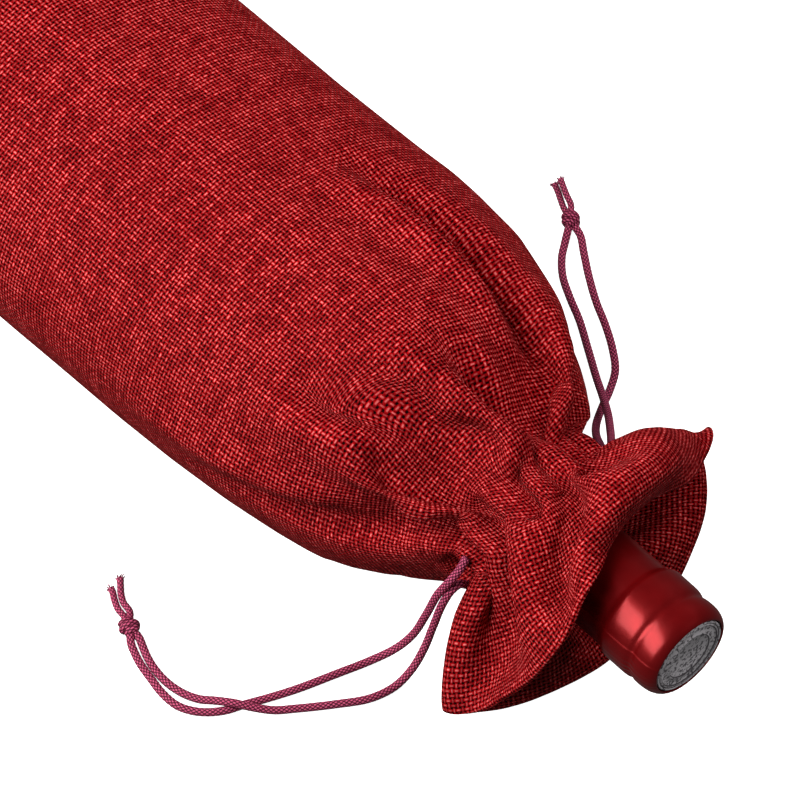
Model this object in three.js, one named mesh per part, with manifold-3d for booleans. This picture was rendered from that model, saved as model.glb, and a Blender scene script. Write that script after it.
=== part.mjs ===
// A drawstring wine gift bag, lying on its side with a bottle in it. Millimetres, +Z up.
// +X points out of the bag's mouth, +Y is the bag's left side and -Y its right side.
// Shapes are drawn along the bag from the plane of the bottle's base, in the order
// (along, across, height), and one group shifts them so that the origin is the middle
// of the whole object's footprint.
import * as THREE from 'three';
import { mergeVertices } from 'three/addons/utils/BufferGeometryUtils.js';
import Module from 'manifold-3d';

const wasm = await Module();
wasm.setup();

// ---- driving dimensions -------------------------------------------------------------
const gap = 0.3;                    // clearance between pieces that touch

const bottleLength = 315;
const bottleRadius = 37.5;
const glassWall = 3;
const clothThickness = 1.2;
const axisHeight = bottleRadius + clothThickness + gap;

const seamEnd = -24;                // the bag's bottom seam, behind the bottle's base
const panelGap = 1.8;               // between the two panels, where the side seam's thread runs
const threadRadius = 0.5;

const casingAlong = 250;            // middle of the drawcord channel
const casingHalfLength = 7;
const casingThickness = 6.2;        // two layers of cloth with the channel between them
const casingOpening = 13;           // height of the hole that the cords leave through
const channelRadius = 18.9;         // from the bottle's axis to the middle of the channel
const channelFlatness = 1.5;        // the gathered neck is this much wider than high
const channelHalfDepth = 1.65;
const channelHalfLength = 3.6;
const hemThickness = 2.4;           // the ruffle is cloth folded double

const cordDiameter = 2.5;
const cordOffset = 1.9;             // the two cords lie this far each side of the channel's middle
const knotSize = [8.2, 6.4, 6.0];

const bagEnd = seamEnd - gap - 2 * threadRadius - 0.1;
const shiftAlong = -(bottleLength + bagEnd) / 2;

// ---- materials ----------------------------------------------------------------------
function finish(color, roughness, metalness = 0) {
  return new THREE.MeshStandardMaterial({ color, roughness, metalness, side: THREE.DoubleSide });
}

const clothRed = 0x8e2527;
const threadRed = 0x7a2226;
const cordRed = 0x7a3a4c;

const object = new THREE.Group();
object.position.x = shiftAlong;

function add(name, geometry, material) {
  const mesh = new THREE.Mesh(geometry, material);
  mesh.name = name;
  object.add(mesh);
  return mesh;
}

// ---- solid helpers ------------------------------------------------------------------
// A closed solid from a row of closed loops with the same number of points. Each loop
// runs out along one face of a sheet and back along the other, so the two end caps
// are strips between the faces.
function sheetLoft(loops) {
  const count = loops[0].length;
  const half = count / 2;
  const positions = loops.flat(2);
  const index = [];
  for (let i = 0; i + 1 < loops.length; i += 1) {
    for (let j = 0; j < count; j += 1) {
      const a = i * count + j;
      const b = i * count + ((j + 1) % count);
      index.push(a, b, a + count, b, b + count, a + count);
    }
  }
  const last = (loops.length - 1) * count;
  for (let j = 0; j + 1 < half; j += 1) {
    const outer = j;
    const inner = count - 1 - j;
    index.push(outer, inner, outer + 1, outer + 1, inner, inner - 1);
    index.push(last + outer, last + outer + 1, last + inner, last + outer + 1, last + inner - 1, last + inner);
  }
  const geometry = new THREE.BufferGeometry();
  geometry.setAttribute('position', new THREE.Float32BufferAttribute(positions, 3));
  geometry.setIndex(index);
  geometry.computeVertexNormals();
  return geometry;
}

function flipped(geometry) {
  const index = geometry.getIndex();
  for (let i = 0; i < index.count; i += 3) {
    const kept = index.getX(i);
    index.setX(i, index.getX(i + 1));
    index.setX(i + 1, kept);
  }
  geometry.computeVertexNormals();
  return geometry;
}

function solidOf(geometry) {
  let bare = geometry.clone();
  bare.deleteAttribute('normal');
  bare.deleteAttribute('uv');
  bare = mergeVertices(bare, 1e-4);
  return new wasm.Manifold(new wasm.Mesh({
    numProp: 3,
    vertProperties: new Float32Array(bare.getAttribute('position').array),
    triVerts: new Uint32Array(bare.getIndex().array),
  }));
}

function geometryOf(solid) {
  const mesh = solid.getMesh();
  const geometry = new THREE.BufferGeometry();
  geometry.setAttribute('position', new THREE.Float32BufferAttribute(mesh.vertProperties, 3));
  geometry.setIndex(new THREE.Uint32BufferAttribute(mesh.triVerts, 1));
  geometry.computeVertexNormals();
  return geometry;
}

// A solid of revolution about the bottle's axis, from (along, radius) points.
function turned(profile, segments = 28) {
  const points = profile.map(([along, radius]) => new THREE.Vector2(radius, along));
  const geometry = new THREE.LatheGeometry(points, segments);
  geometry.rotateZ(-Math.PI / 2);
  geometry.translate(0, 0, axisHeight);
  return geometry;
}

// A round tube along a smooth curve through the points of a route.
function tube(route, radius, steps, sides = 8) {
  const section = new THREE.Shape();
  for (let i = 0; i < sides; i += 1) {
    const turn = ((i + 0.5) / sides) * Math.PI * 2;
    const point = [radius * Math.cos(turn), radius * Math.sin(turn)];
    if (i === 0) section.moveTo(...point);
    else section.lineTo(...point);
  }
  section.closePath();
  const curve = new THREE.CatmullRomCurve3(route.map((p) => new THREE.Vector3(...p)), false, 'centripetal');
  return new THREE.ExtrudeGeometry(section, { steps, extrudePath: curve, bevelEnabled: false });
}

// ---- the cloth bag ------------------------------------------------------------------
// Where the cloth is at each place along the bag: its half width on each side, the
// height of its top, side seam and underside, and its thickness.
const sections = [
  { along: seamEnd, left: 76, right: 76, top: 15.5, side: 14, low: 12.5, thick: clothThickness },
  { along: -14, left: 74, right: 74, top: 41, side: 20, low: 4, thick: clothThickness },
  { along: -4, left: 70.5, right: 70.5, top: 68.5, side: 29, low: 0, thick: clothThickness },
  { along: 3, left: 68, right: 68, top: 79.2, side: 34, low: 0, thick: clothThickness },
  { along: 30, left: 64, right: 64, top: 79.4, side: 37, low: 0, thick: clothThickness },
  { along: 90, left: 64.5, right: 62.5, top: 79.4, side: 37, low: 0, thick: clothThickness },
  { along: 150, left: 65.5, right: 59.5, top: 79.4, side: 37, low: 0, thick: clothThickness },
  { along: 185, left: 63.5, right: 55.5, top: 79, side: 37, low: 0, thick: clothThickness },
  { along: 205, left: 57, right: 51.5, top: 77, side: 37, low: 0, thick: clothThickness },
  { along: 220, left: 48, right: 45, top: 72.5, side: 38, low: 2, thick: clothThickness },
  { along: 233, left: 38.5, right: 36.5, top: 65.5, side: 39, low: 9.5, thick: 2.4, round: true },
  { along: casingAlong - casingHalfLength, left: 31.8, right: 31.8, top: 61, side: 39, low: 17, thick: casingThickness, round: true },
  { along: casingAlong + casingHalfLength, left: 31.8, right: 31.8, top: 61, side: 39, low: 17, thick: casingThickness, round: true },
  { along: 262, left: 40, right: 39, top: 62, side: 37, low: 11, thick: hemThickness },
  { along: 270, left: 51, right: 49, top: 63, side: 32, low: 4, thick: hemThickness },
  { along: 279, left: 63, right: 57, top: 64.5, side: 27, low: 0, thick: hemThickness },
  { along: 286, left: 67, right: 61, top: 65.5, side: 25, low: 0, thick: hemThickness },
];
const clothSteps = 12;              // facets round each panel
const rimLean = 9;                  // the mouth stands this much further out on top
const rimLeft = -22;                // and the left side of the ruffle is folded back

// The ruffle's rim is not square to the bag: its top reaches furthest out.
function rimShift(along, turn) {
  const flare = Math.max(0, (along - 257) / 29);
  const back = Math.max(0, Math.cos(turn)) ** 2;
  return flare * (rimLean * Math.sin(turn) + rimLeft * back);
}

function halfOpening(along) {
  if (along === seamEnd) return gap;
  const inCasing = Math.abs(along - casingAlong) <= casingHalfLength + 0.01;
  return (inCasing ? casingOpening : panelGap) / 2;
}

// One panel's loop at one section. upper is 1 for the front panel and -1 for the back.
function panelLoop(s, upper) {
  const rise = upper > 0 ? s.top - s.side : s.side - s.low;
  const opening = halfOpening(s.along);
  const start = Math.asin(Math.min(0.99, opening / rise));
  const outer = [];
  const inner = [];
  for (let i = 0; i <= clothSteps; i += 1) {
    const turn = start + ((Math.PI - 2 * start) * i) / clothSteps;
    const edge = i === 0 || i === clothSteps;
    const width = Math.cos(turn) > 0 ? s.left : s.right;
    const across = width * Math.cos(turn);
    const lift = upper > 0 || s.round ? Math.sin(turn) : Math.min(1, 1.03 * Math.sin(turn) ** 0.7);
    const height = edge ? opening : rise * lift;
    const along = s.along + rimShift(s.along, upper * turn);
    const shrink = edge ? 1 : 1 - s.thick / rise;
    outer.push([along, across, s.side + upper * height]);
    inner.push([along, across * (1 - s.thick / width), s.side + upper * height * shrink]);
  }
  return outer.concat(inner.reverse());
}

function drawcordChannel() {
  const near = channelRadius - channelHalfDepth;
  const far = channelRadius + channelHalfDepth;
  const half = channelHalfLength;
  const profile = [[-half, near], [-half, far], [half, far], [half, near], [-half, near]];
  const points = profile.map(([along, radius]) => new THREE.Vector2(radius, along));
  const ring = new THREE.LatheGeometry(points, 40);
  ring.rotateZ(-Math.PI / 2);
  ring.rotateX(Math.PI / 40);
  ring.scale(1, channelFlatness, 1);
  ring.translate(casingAlong, 0, axisHeight);
  return solidOf(ring);
}

function panel(upper) {
  const loft = sheetLoft(sections.map((s) => panelLoop(s, upper)));
  const shell = solidOf(upper > 0 ? loft : flipped(loft));
  return geometryOf(shell.subtract(drawcordChannel()));
}

add('front_panel', panel(1), finish(clothRed, 0.85));
add('back_panel', panel(-1), finish(clothRed, 0.85));

// Sewing thread along a side, between two places along the bag. side is 1 for the left.
function sideThread(from, to, side) {
  const chosen = sections.filter((s) => s.along >= from && s.along <= to);
  return sheetLoft(chosen.map((s) => {
    const along = s.along + rimShift(s.along, side > 0 ? 0 : Math.PI);
    const across = side * ((side > 0 ? s.left : s.right) - s.thick / 2);
    return Array.from({ length: 6 }, (_, i) => {
      const turn = (i * Math.PI) / 3;
      return [along, across + threadRadius * Math.cos(turn), s.side + threadRadius * Math.sin(turn)];
    });
  }));
}

for (const [label, side] of [['left', 1], ['right', -1]]) {
  add(`${label}_side_seam`, sideThread(-14, 233, side), finish(threadRed, 0.8));
  add(`${label}_rim_seam`, sideThread(262, 286, side), finish(threadRed, 0.8));
}

function bottomThread() {
  const { side, left } = sections[0];
  const along = bagEnd + threadRadius;
  return tube([[along, left - 1, side], [along, 0, side], [along, 1 - left, side]], threadRadius, 8, 6);
}

add('bottom_seam', bottomThread(), finish(threadRed, 0.8));

// A row of stitches round the outside of the gathered neck, on one edge of the casing.
function casingThread(along, clearance) {
  const start = 0.42;
  const route = [];
  const points = 24;
  const across = 31.8 + clearance;
  const up = 22 + clearance;
  for (let i = 0; i <= points; i += 1) {
    const turn = start + ((Math.PI * 2 - 0.06) * i) / points;
    route.push([along, across * Math.cos(turn), axisHeight + up * Math.sin(turn)]);
  }
  return tube(route, threadRadius, 40, 6);
}

const stitchClearance = gap + threadRadius + 0.35;
add('lower_casing_stitch', casingThread(casingAlong - 5.7, stitchClearance), finish(threadRed, 0.8));
add('upper_casing_stitch', casingThread(casingAlong + 5.7, stitchClearance), finish(threadRed, 0.8));

// ---- the drawcords ------------------------------------------------------------------
const cordMaterial = () => finish(cordRed, 0.55);
const cordRadius = cordDiameter / 2;
const loopStart = 20 * (Math.PI / 180);

// The part of a drawcord that runs round the neck inside the casing.
function cordLoop(side) {
  const along = casingAlong - side * cordOffset;
  const middle = side > 0 ? 0 : Math.PI;
  const first = middle + loopStart + 0.02;
  const turnAll = Math.PI * 2 - 2 * (loopStart + 0.02);
  const route = [];
  const points = 24;
  for (let i = 0; i <= points; i += 1) {
    const turn = first + (turnAll * i) / points;
    const across = channelRadius * channelFlatness * Math.cos(turn);
    route.push([along, across, axisHeight + channelRadius * Math.sin(turn)]);
  }
  return tube(route, cordRadius, 40);
}

// The free strands: a leaves the front panel's casing and b the back panel's, both at
// the same side. They cross once, and lie on the table as far as their knot.
const strands = {
  right_cord_strand_a: [
    [251.9, -26.7, 45.4], [251.9, -29.0, 42.2], [251.2, -31.8, 38.8], [249.0, -34.6, 32.5],
    [246.6, -37.0, 22.0], [243.8, -39.6, 11.5], [240.6, -43.4, 4.8], [237.3, -50.0, 1.6],
    [234.0, -60.6, 1.35], [230.6, -71.8, 1.35], [227.3, -80.4, 1.35], [224.6, -86.6, 1.35],
    [222.5, -92.0, 1.35], [219.8, -96.0, 1.35], [216.3, -99.2, 1.35], [211.9, -101.3, 1.35],
    [206.0, -101.7, 1.35], [199.6, -100.8, 1.35], [193.9, -99.8, 1.35], [190.5, -98.8, 1.5],
    [187.4, -97.7, 2.2],
  ],
  right_cord_strand_b: [
    [251.9, -26.7, 32.6], [251.9, -29.3, 35.2], [251.6, -32.0, 34.4], [250.8, -34.8, 29.0],
    [250.0, -37.2, 20.5], [249.4, -40.4, 11.0], [249.0, -44.6, 4.6], [248.6, -50.6, 1.5],
    [246.9, -58.6, 1.35], [241.7, -67.5, 1.35], [235.5, -76.6, 1.35], [231.8, -81.9, 1.7],
    [227.6, -86.3, 2.9], [223.3, -89.9, 3.95], [218.7, -92.8, 2.9], [214.6, -95.3, 1.6],
    [209.9, -97.3, 1.35], [204.2, -98.3, 1.35], [198.5, -98.0, 1.35], [193.7, -96.9, 1.35],
    [190.4, -95.7, 1.5], [187.2, -94.6, 2.2],
  ],
  left_cord_strand_a: [
    [248.1, 26.7, 45.4], [248.1, 29.2, 42.3], [247.2, 32.4, 38.8], [244.2, 36.8, 33.4],
    [239.2, 42.0, 27.4], [233.0, 47.8, 21.2], [225.2, 54.6, 14.8], [216.2, 61.4, 8.4],
    [206.5, 67.9, 3.6], [196.0, 74.5, 1.6], [186.0, 80.3, 1.35], [177.6, 84.2, 1.35],
    [170.2, 88.2, 1.35], [164.6, 93.0, 1.4], [161.2, 97.4, 1.6], [159.2, 100.2, 2.2],
  ],
  left_cord_strand_b: [
    [248.1, 26.7, 32.6], [248.1, 29.6, 34.9], [246.4, 32.8, 33.6], [241.6, 37.0, 28.0],
    [235.4, 41.6, 21.4], [228.4, 46.8, 14.8], [221.6, 53.6, 8.0], [215.8, 61.6, 3.2],
    [211.4, 69.2, 1.5], [207.2, 75.2, 1.35], [200.4, 80.4, 1.35], [192.6, 84.9, 1.35],
    [184.2, 89.0, 1.35], [175.4, 94.2, 1.35], [167.6, 99.4, 1.5], [162.4, 102.8, 2.2],
  ],
};
const tails = {
  right_cord_tail_a: [
    [178.5, -93.0, 2.2], [174.9, -92.3, 1.5], [171.6, -90.9, 1.35], [169.3, -89.6, 1.35],
    [168.0, -89.1, 1.35],
  ],
  right_cord_tail_b: [
    [178.4, -90.7, 2.2], [174.3, -89.7, 1.5], [171.4, -88.2, 1.35], [169.0, -86.4, 1.35],
    [167.0, -84.8, 1.35],
  ],
  left_cord_tail_a: [[151.0, 106.5, 2.2], [147.7, 108.4, 1.5], [144.4, 110.2, 1.35], [141.6, 111.5, 1.35]],
  left_cord_tail_b: [[152.2, 108.3, 3.5], [148.6, 109.9, 3.5], [145.2, 111.6, 3.4], [142.6, 113.0, 3.3]],
};
const knots = {
  right: { middle: [182.9, -94.6, 3.05], turn: 0.3 },
  left: { middle: [156.3, 104.4, 3.05], turn: -0.72 },
};

// The pair of strands tied into one overhand knot.
function knot({ middle, turn }) {
  const shape = new THREE.SphereGeometry(0.5, 12, 8);
  shape.rotateX(Math.PI / 2);
  shape.scale(...knotSize);
  shape.rotateZ(turn);
  shape.translate(...middle);
  return shape;
}

for (const [label, side] of [['left', 1], ['right', -1]]) {
  add(`${label}_cord_loop`, cordLoop(side), cordMaterial());
  add(`${label}_cord_strand_a`, tube(strands[`${label}_cord_strand_a`], cordRadius, 24), cordMaterial());
  add(`${label}_cord_strand_b`, tube(strands[`${label}_cord_strand_b`], cordRadius, 24), cordMaterial());
  add(`${label}_cord_knot`, knot(knots[label]), cordMaterial());
  add(`${label}_cord_tail_a`, tube(tails[`${label}_cord_tail_a`], 1.1, 8, 8), cordMaterial());
  add(`${label}_cord_tail_b`, tube(tails[`${label}_cord_tail_b`], 1.1, 8, 8), cordMaterial());
}

// ---- the bottle ---------------------------------------------------------------------
const shoulder = [
  [190, bottleRadius], [199, 36.6], [207, 34.0], [214, 29.6], [220, 25.0], [226, 20.8],
  [232, 17.6], [239, 15.2], [247, 13.9],
];
const neckRadius = 13.3;
const glassTop = bottleLength - 1.7;
const boreRadius = 9.25;
const corkLength = 45;

function glassBottle() {
  const outside = [
    [22, 0], [19, 8], [10, 20], [2, 28], [0, 31], [1.2, 34.6], [5, bottleRadius],
    ...shoulder, [256, neckRadius], [293.6, neckRadius], [295.4, 14.7], [304.4, 14.7],
    [305.4, 13.9], [306.8, 14.2], [311, 14.2], [glassTop, 12.2],
  ];
  const inside = [
    [glassTop, boreRadius], [250, boreRadius], [243, 11.0], [235, 13.6], [227, 17.2],
    [219, 22.6], [212, 27.6], [205, 31.6], [197, 33.8], [188, bottleRadius - glassWall],
    [12, bottleRadius - glassWall], [7, 31.5], [6.5, 29], [14, 21], [23, 9], [26, 0],
  ];
  return turned(outside.concat(inside));
}

function wine() {
  return turned([
    [26 + gap, 0], [23.4, 9.2], [14.4, 21.2], [7.2, 29.2], [7.6, 31], [12.3, 34.1], [187.8, 34.1],
    [196.6, 33.4], [204.6, 31.2], [211.6, 27.2], [218.6, 22.2], [226.6, 16.8], [234.6, 13.2],
    [242.8, 10.6], [250, 8.9], [262, 8.9], [262, 0],
  ]);
}

function cork() {
  const top = glassTop - 0.4;
  const radius = boreRadius - gap;
  return turned([
    [top - corkLength, 0], [top - corkLength, radius - 0.6], [top - corkLength + 0.8, radius],
    [top - 0.8, radius], [top, radius - 0.6], [top, 0],
  ], 20);
}

// The shrink capsule: a long skirt on the neck, a wider band over the glass finish, a
// crease, a bead and a rounded edge that curls in over the top disc.
function capsuleSkirt() {
  return turned([
    [256.5, 14.2], [293.4, 14.2], [295.0, 15.5], [304.6, 15.5], [305.9, 14.6], [307.0, 15.0],
    [311.6, 15.0], [314.2, 14.0], [bottleLength, 12.8], [bottleLength - 0.8, 12.6],
    [glassTop + gap, 12.6], [311.3, 14.5], [306.7, 14.5], [305.6, 14.25], [304.8, 15.0],
    [295.1, 15.0], [293.4, 13.7], [256.5, 13.7], [256.5, 14.2],
  ]);
}

function capsuleDisc() {
  const back = glassTop + gap;
  return turned([[back, 0], [back, 12.2], [bottleLength - 0.4, 12.2], [bottleLength, 11.9], [bottleLength, 0]]);
}

// A plain paper label wrapped part of the way round the body of the bottle.
function label() {
  const from = 52;
  const to = 142;
  const half = 1.15;
  const steps = 16;
  const inner = bottleRadius + 0.3;
  const outer = inner + 0.3;
  const loops = [from, to].map((along) => {
    const arc = (radius) => Array.from({ length: steps + 1 }, (_, i) => {
      const turn = Math.PI / 2 - half + (2 * half * i) / steps;
      return [along, radius * Math.cos(turn), axisHeight + radius * Math.sin(turn)];
    });
    return arc(outer).concat(arc(inner).reverse());
  });
  return sheetLoft(loops);
}

add('bottle_glass', glassBottle(), finish(0x1c2a1a, 0.1));
add('wine', wine(), finish(0x2a0508, 0.2));
add('cork', cork(), finish(0xb98f62, 0.9));
add('capsule_skirt', capsuleSkirt(), finish(0x7d1a1f, 0.32, 0.5));
add('capsule_disc', capsuleDisc(), finish(0x6a6368, 0.45, 0.4));
add('bottle_label', label(), finish(0xe8dfc8, 0.8));

export default object;
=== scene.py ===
"""A wine gift bag of coarse red cloth, drawn in at the neck by two braided cords.

It lies on its side round a capped wine bottle. Lengths are in metres.
"""

import math
import random

import bpy
import numpy as np
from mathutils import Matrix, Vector


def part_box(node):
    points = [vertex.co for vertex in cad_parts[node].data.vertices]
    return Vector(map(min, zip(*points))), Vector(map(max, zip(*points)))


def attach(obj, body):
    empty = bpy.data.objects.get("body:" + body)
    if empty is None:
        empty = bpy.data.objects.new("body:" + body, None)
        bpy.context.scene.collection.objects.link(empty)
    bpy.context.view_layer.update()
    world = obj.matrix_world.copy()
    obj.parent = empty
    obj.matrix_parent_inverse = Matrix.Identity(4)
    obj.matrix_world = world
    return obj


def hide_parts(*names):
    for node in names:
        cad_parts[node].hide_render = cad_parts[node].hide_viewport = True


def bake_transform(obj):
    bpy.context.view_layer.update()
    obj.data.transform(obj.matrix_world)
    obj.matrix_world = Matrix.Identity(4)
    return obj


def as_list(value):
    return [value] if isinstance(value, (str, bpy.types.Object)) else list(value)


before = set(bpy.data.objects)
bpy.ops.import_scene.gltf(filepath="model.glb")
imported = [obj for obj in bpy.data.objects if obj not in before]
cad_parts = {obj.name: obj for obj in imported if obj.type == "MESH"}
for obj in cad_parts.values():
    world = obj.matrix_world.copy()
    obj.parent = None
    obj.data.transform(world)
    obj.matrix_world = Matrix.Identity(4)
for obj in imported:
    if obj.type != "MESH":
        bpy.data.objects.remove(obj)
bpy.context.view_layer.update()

# Places along the bag are measured from the bottle's base.
BASE_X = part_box("bottle_glass")[0].x
AXIS_HEIGHT = 0.039

# ---- the camera, the floor and the light --------------------------------------------
CAMERA_TURN = math.radians(48.14)
CAMERA_RISE = math.radians(52.35)
CAMERA_DISTANCE = 1.4
CAMERA_LENS = 217.85
CAMERA_TARGET = Vector((BASE_X + 0.1941, 0.0001, AXIS_HEIGHT))


def direction(turn, rise):
    """The unit vector that points from the object towards a camera or lamp at these angles."""
    return Vector((
        math.sin(turn) * math.cos(rise),
        -math.cos(turn) * math.cos(rise),
        math.sin(rise),
    ))


def aim(thing, towards):
    """Turns a camera or lamp so that its front faces a point."""
    look = Vector(towards) - thing.location
    thing.rotation_euler = look.to_track_quat("-Z", "Y").to_euler()


def add_camera():
    data = bpy.data.cameras.new("camera")
    data.lens = CAMERA_LENS
    data.sensor_width = 36.0
    data.clip_start = 0.05
    data.clip_end = 20.0
    camera = bpy.data.objects.new("camera", data)
    bpy.context.collection.objects.link(camera)
    camera.location = CAMERA_TARGET + direction(CAMERA_TURN, CAMERA_RISE) * CAMERA_DISTANCE
    aim(camera, CAMERA_TARGET)
    bpy.context.scene.camera = camera


def add_lamp(name, turn, rise, distance, width, height, power, mirrored=True):
    """A soft box at these angles, in degrees, round the middle of the view."""
    data = bpy.data.lights.new(name, "AREA")
    data.shape = "RECTANGLE"
    data.size = width
    data.size_y = height
    data.energy = power
    lamp = bpy.data.objects.new(name, data)
    lamp.visible_glossy = mirrored
    bpy.context.collection.objects.link(lamp)
    lamp.location = CAMERA_TARGET + direction(math.radians(turn), math.radians(rise)) * distance
    aim(lamp, CAMERA_TARGET)


def add_world(strength):
    world = bpy.data.worlds.new("studio")
    world.use_nodes = True
    background = world.node_tree.nodes["Background"]
    background.inputs["Color"].default_value = (1, 1, 1, 1)
    background.inputs["Strength"].default_value = strength
    bpy.context.scene.world = world


def new_object(name, points, faces, flat=None, smooth=True):
    """A mesh object. flat holds each point's place (u, v) on the flat cloth or surface."""
    mesh = bpy.data.meshes.new(name)
    mesh.from_pydata([tuple(p) for p in points], [], [tuple(f) for f in faces])
    if flat is not None:
        layer = mesh.uv_layers.new(name="Flat")
        corners = np.array([loop.vertex_index for loop in mesh.loops])
        layer.data.foreach_set("uv", np.asarray(flat, dtype=float)[corners].ravel())
    mesh.polygons.foreach_set("use_smooth", [smooth] * len(mesh.polygons))
    mesh.update()
    piece = bpy.data.objects.new(name, mesh)
    bpy.context.collection.objects.link(piece)
    return piece


def stand_for(piece, body, slot, node):
    """Puts a piece on its body, in place of its plain node. slot is not used."""
    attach(piece, body)
    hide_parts(node)


# ---- materials ------------------------------------------------------------------------
def linear(red, green, blue):
    """A colour given as 0..255 screen values."""
    def one(value):
        value /= 255
        return value / 12.92 if value <= 0.04045 else ((value + 0.055) / 1.055) ** 2.4

    return (one(red), one(green), one(blue), 1.0)


class Look:
    """One material and short calls that add nodes to it."""

    def __init__(self, name):
        self.material = bpy.data.materials.new(name)
        self.material.use_nodes = True
        self.tree = self.material.node_tree
        self.shader = self.tree.nodes["Principled BSDF"]

    def node(self, kind, **settings):
        made = self.tree.nodes.new(kind)
        for key, value in settings.items():
            setattr(made, key, value)
        return made

    def feed(self, socket, value):
        if isinstance(value, bpy.types.NodeSocket):
            self.tree.links.new(value, socket)
        else:
            socket.default_value = value

    def set(self, **values):
        """Sets the shader's own sockets, such as Roughness=0.5."""
        for key, value in values.items():
            self.feed(self.shader.inputs[key.replace("_", " ")], value)

    def math(self, operation, first, second=None):
        made = self.node("ShaderNodeMath", operation=operation)
        self.feed(made.inputs[0], first)
        if second is not None:
            self.feed(made.inputs[1], second)
        return made.outputs[0]

    def plus(self, first, second):
        return self.math("ADD", first, second)

    def minus(self, first, second):
        return self.math("SUBTRACT", first, second)

    def times(self, first, second):
        return self.math("MULTIPLY", first, second)

    def ease(self, value, start, end, low=0.0, high=1.0):
        """Goes smoothly from low to high as the value goes from start to end."""
        made = self.node("ShaderNodeMapRange", interpolation_type="SMOOTHSTEP")
        for key, put in zip(
            ("Value", "From Min", "From Max", "To Min", "To Max"),
            (value, start, end, low, high),
        ):
            self.feed(made.inputs[key], put)
        return made.outputs["Result"]

    def mix(self, factor, first, second):
        made = self.node("ShaderNodeMix", data_type="RGBA")
        self.feed(made.inputs[0], factor)
        self.feed(made.inputs[6], first)
        self.feed(made.inputs[7], second)
        return made.outputs[2]

    def join(self, x, y, z=0.0):
        made = self.node("ShaderNodeCombineXYZ")
        for socket, value in zip(made.inputs, (x, y, z)):
            self.feed(socket, value)
        return made.outputs[0]

    def flat(self):
        """The two flat coordinates of the surface, in metres."""
        place = self.node("ShaderNodeUVMap", uv_map="Flat").outputs["UV"]
        parts = self.node("ShaderNodeSeparateXYZ")
        self.feed(parts.inputs[0], place)
        return parts.outputs[0], parts.outputs[1]

    def noise(self, place, scale, detail=2.0, roughness=0.5):
        made = self.node("ShaderNodeTexNoise")
        self.feed(made.inputs["Vector"], place)
        made.inputs["Scale"].default_value = scale
        made.inputs["Detail"].default_value = detail
        made.inputs["Roughness"].default_value = roughness
        return made.outputs["Fac"]

    def chance(self, x, y):
        """A random number for each whole-numbered place."""
        made = self.node("ShaderNodeTexWhiteNoise", noise_dimensions="2D")
        self.feed(made.inputs["Vector"], self.join(x, y))
        return made.outputs["Value"]

    def object_place(self):
        return self.node("ShaderNodeTexCoord").outputs["Object"]

    def bump(self, height, distance):
        made = self.node("ShaderNodeBump")
        made.inputs["Strength"].default_value = 1.0
        made.inputs["Distance"].default_value = distance
        self.feed(made.inputs["Height"], height)
        self.feed(self.shader.inputs["Normal"], made.outputs["Normal"])


YARN_PITCH = 0.00135
# In yarn pitches: how far the yarns wander, half a warp's and a weft's width, and how much a slub adds.
YARN_SWAY = 0.9
WARP_HALF = 0.29
WEFT_HALF = 0.345
SLUB = 0.06
CORD_DIAMETER = 0.0025
BRAID_YARNS = 7
BRAID_LAY = 0.0105


def cloth_look():
    """Coarse plain weave in slubby red yarns: painted shade makes a small dark hole at each crossing's
    corners and darkens the yarns' flanks, and painted highlights run along their crowns.
    """
    look = Look("cloth")
    plus, minus, times = look.plus, look.minus, look.times
    u, v = look.flat()
    wander = look.noise(look.join(u, v), 60.0, 2.0)
    sway = times(minus(wander, 0.5), YARN_SWAY)
    x = plus(times(u, 1 / YARN_PITCH), sway)
    y = plus(times(v, 1 / YARN_PITCH), sway)
    column = look.math("FLOOR", x)
    row = look.math("FLOOR", y)
    tones = []
    heights = []
    highlight_streaks = []
    for across, along, yarn, broad, lift, key in (
        (x, y, column, WARP_HALF, 1.0, 11.0),
        (y, x, row, WEFT_HALF, -1.0, 47.0),
    ):
        slub = look.noise(look.join(times(yarn, 3.17), times(along, 0.16), key), 1.0, 2.0)
        half = look.ease(slub, 0.25, 0.75, broad - SLUB, broad + SLUB)
        side = look.math("ABSOLUTE", minus(minus(across, yarn), 0.5))
        part = look.math("DIVIDE", side, half)
        crown = look.math("SQRT", look.math("MAXIMUM", minus(1.0, times(part, part)), 0.0))
        wave = look.math("SINE", times(plus(along, yarn), math.pi))
        rise = times(wave, lift)
        level = plus(times(rise, 0.5), crown)
        # Painted highlight: a light streak along the middle of each yarn where it rises over the crossing
        # yarn.
        highlight_streaks.append(times(look.ease(part, 0.65, 0.15), look.ease(rise, 0.1, 0.85)))
        beside_yarn = minus(1.0, look.math("LESS_THAN", part, 1.0))
        heights.append(minus(level, times(beside_yarn, 2.0)))
        own = look.chance(yarn, key)
        spot = look.chance(plus(column, key), row)
        tone = plus(times(own, 0.16), times(slub, 0.62))
        tones.append(minus(plus(tone, times(spot, 0.26)), 0.12))
    first_on_top = look.math("GREATER_THAN", heights[0], heights[1])
    second_on_top = minus(1.0, first_on_top)
    height = look.math("MAXIMUM", heights[0], heights[1])
    tone, streak = (
        plus(times(two[0], first_on_top), times(two[1], second_on_top))
        for two in (tones, highlight_streaks)
    )
    fibre = look.noise(look.join(u, v), 2600.0, 3.0, 0.6)
    red = look.mix(look.ease(tone, 0.1, 0.9), linear(116, 0, 5), linear(188, 4, 12))
    red = look.mix(look.ease(fibre, 0.35, 0.75, 0.0, 0.35), red, linear(86, 0, 4))
    # Painted highlight: pale pink along the yarns' crowns, stronger on lighter yarns.
    shine = times(streak, look.ease(tone, 0.2, 0.85, 0.1, 0.85))
    red = look.mix(shine, red, linear(246, 136, 134))
    # Painted shade: near black in the holes between yarns, and darker down each yarn's flanks and where it
    # dips under the crossing yarn.
    red = look.mix(look.ease(height, 0.0, 1.0), linear(10, 0, 1), red)
    look.set(Base_Color=red, Roughness=0.75, Specular_IOR_Level=0.06)
    look.bump(plus(height, times(fibre, 0.25)), 0.00024)
    return look.material


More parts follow.
